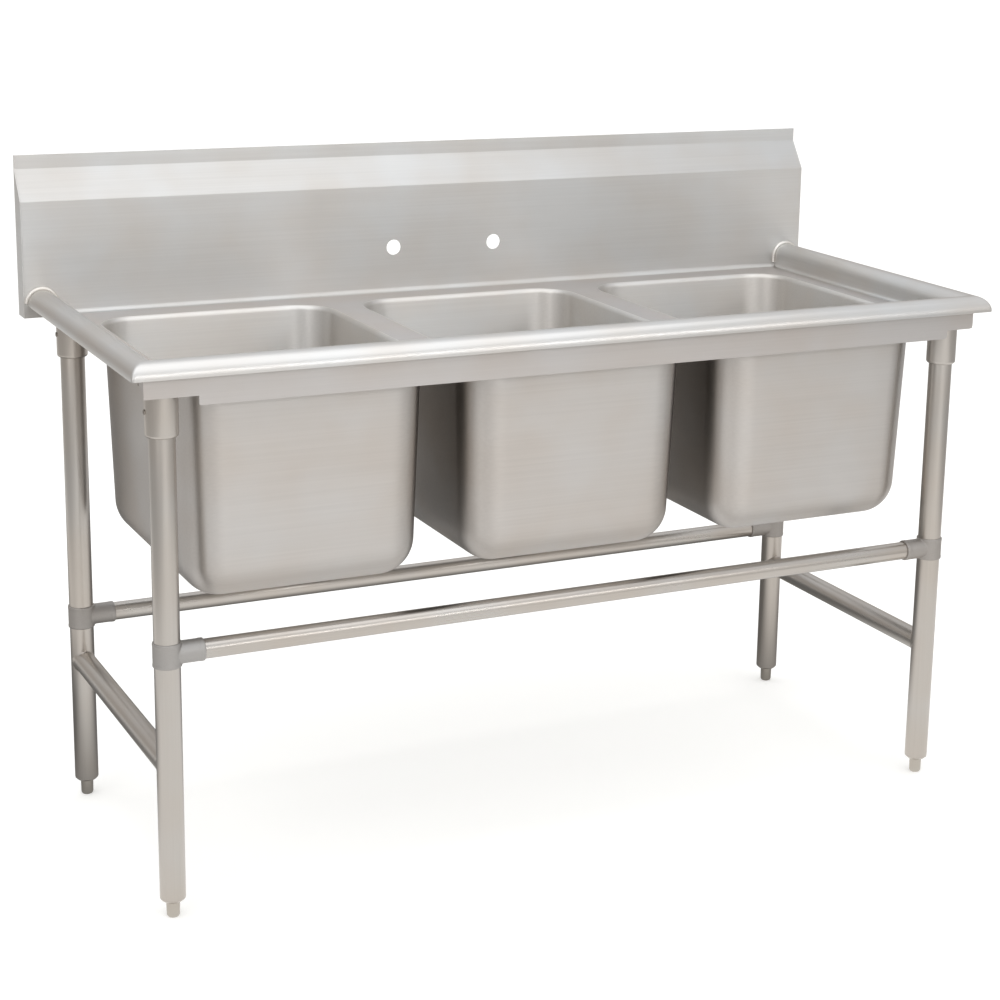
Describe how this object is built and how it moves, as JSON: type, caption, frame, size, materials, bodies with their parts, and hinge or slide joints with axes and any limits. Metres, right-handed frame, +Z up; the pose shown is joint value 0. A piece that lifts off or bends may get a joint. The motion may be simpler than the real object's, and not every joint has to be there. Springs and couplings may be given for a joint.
{
  "type": "three compartment sink",
  "caption": "Free-standing stainless commercial sink with deep bowls in a row, rolled rims, a tall backsplash and round legs tied by rails and end braces.",
  "frame": {"origin": "on the floor, at the centre of the footprint box", "axes": "+X along the sink to its right end, -Y the front, +Z up"},
  "size_m": [1.5748, 0.6858, 1.143],
  "materials": {
    "deck_sheet": "fine satin brushed sheet",
    "rim_sheet": "satin sheet rolled over and polished along its length",
    "splash_sheet": "fine satin brushed sheet",
    "weld_bead": "ground and polished weld",
    "bowl_sheet": "deep drawn sheet, brushed",
    "bracket_plate": "mill finish plate",
    "leg_tube": "tube brushed along its length",
    "rail_tube": "tube brushed along its length",
    "set_screw": "plain steel",
    "foot_metal": "turned steel",
    "tee_casting": "matte cast"
  },
  "bodies": {
    "frame": {"deck_panel": "deck_sheet", "rim_front": "rim_sheet", "rim_left": "rim_sheet", "rim_right": "rim_sheet", "apron_front": "rim_sheet", "backsplash": "splash_sheet", "backsplash_cap_left": "splash_sheet", "backsplash_cap_right": "splash_sheet", "rim_weld_left": "weld_bead", "rim_weld_right": "weld_bead", "bowl_left": "bowl_sheet", "bowl_middle": "bowl_sheet", "bowl_right": "bowl_sheet", "gusset_front_left": "bracket_plate", "socket_front_left": "leg_tube", "socket_screw_front_left": "set_screw", "leg_front_left": "leg_tube", "foot_insert_front_left": "leg_tube", "gusset_front_right": "bracket_plate", "socket_front_right": "leg_tube", "socket_screw_front_right": "set_screw", "leg_front_right": "leg_tube", "foot_insert_front_right": "leg_tube", "gusset_back_left": "bracket_plate", "socket_back_left": "leg_tube", "socket_screw_back_left": "set_screw", "leg_back_left": "leg_tube", "foot_insert_back_left": "leg_tube", "gusset_back_right": "bracket_plate", "socket_back_right": "leg_tube", "socket_screw_back_right": "set_screw", "leg_back_right": "leg_tube", "foot_insert_back_right": "leg_tube", "tee_front_left": "tee_casting", "tee_screw_front_left": "set_screw", "tee_front_right": "tee_casting", "tee_screw_front_right": "set_screw", "tee_back_left": "tee_casting", "tee_screw_back_left": "set_screw", "tee_back_right": "tee_casting", "tee_screw_back_right": "set_screw", "rail_front": "rail_tube", "rail_back": "rail_tube", "brace_left": "rail_tube", "brace_right": "rail_tube"},
    "foot_front_left_body": {"foot_front_left": "foot_metal"},
    "foot_front_right_body": {"foot_front_right": "foot_metal"},
    "foot_back_left_body": {"foot_back_left": "foot_metal"},
    "foot_back_right_body": {"foot_back_right": "foot_metal"}
  },
  "joints": [
    {"name": "foot_front_left_adjust", "type": "slide", "parent": "frame", "child": "foot_front_left_body", "axis": [0, 0, -1], "range_m": [0, 0.025]},
    {"name": "foot_front_right_adjust", "type": "slide", "parent": "frame", "child": "foot_front_right_body", "axis": [0, 0, -1], "range_m": [0, 0.025]},
    {"name": "foot_back_left_adjust", "type": "slide", "parent": "frame", "child": "foot_back_left_body", "axis": [0, 0, -1], "range_m": [0, 0.025]},
    {"name": "foot_back_right_adjust", "type": "slide", "parent": "frame", "child": "foot_back_right_body", "axis": [0, 0, -1], "range_m": [0, 0.025]}
  ]
}
